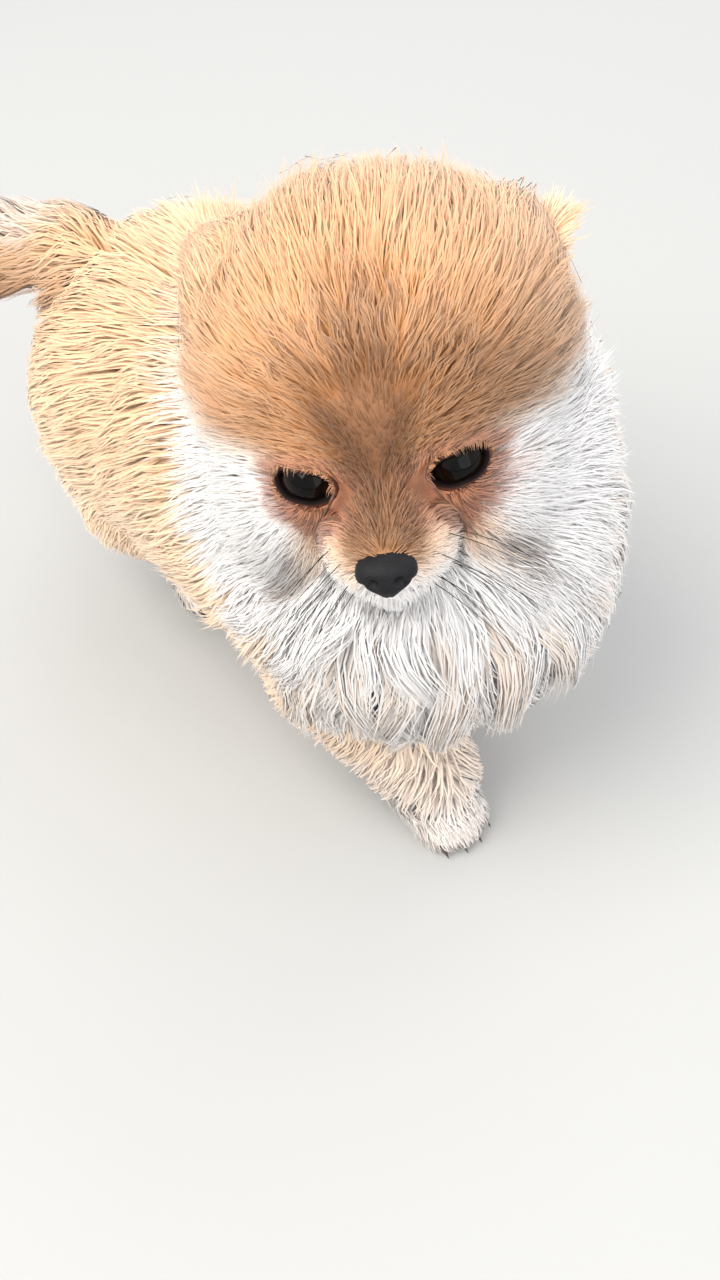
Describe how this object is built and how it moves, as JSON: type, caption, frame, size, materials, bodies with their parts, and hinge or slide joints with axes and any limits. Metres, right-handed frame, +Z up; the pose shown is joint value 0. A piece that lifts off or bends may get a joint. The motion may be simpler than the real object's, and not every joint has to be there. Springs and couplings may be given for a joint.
{
  "type": "pomeranian puppy",
  "caption": "Still life-size model of a walking pomeranian puppy with a long fluffy coat, head raised and turned to its right.",
  "frame": {"origin": "middle of the underside of the box round the model, on the floor under the belly", "axes": "+Z up, the puppy walks towards -Y, its left side is +X"},
  "size_m": [0.1496, 0.2308, 0.2004],
  "materials": {
    "coat_tan": "soft fur",
    "coat_white": "soft fur",
    "coat_cream": "soft fur",
    "coat_tail": "soft fur",
    "coat_leg": "soft fur",
    "coat_ear": "short fur",
    "eye": "wet gloss",
    "nose_leather": "damp, finely pebbled"
  },
  "bodies": {
    "root": {"head": "coat_tan", "neck": "coat_white", "torso": "coat_cream", "tail": "coat_tail", "leg_front_left": "coat_leg", "leg_front_right": "coat_leg", "leg_hind_left": "coat_leg", "leg_hind_right": "coat_leg", "ear_left": "coat_ear", "ear_right": "coat_ear", "eye_left": "eye", "eye_right": "eye", "nose": "nose_leather"}
  },
  "joints": []
}
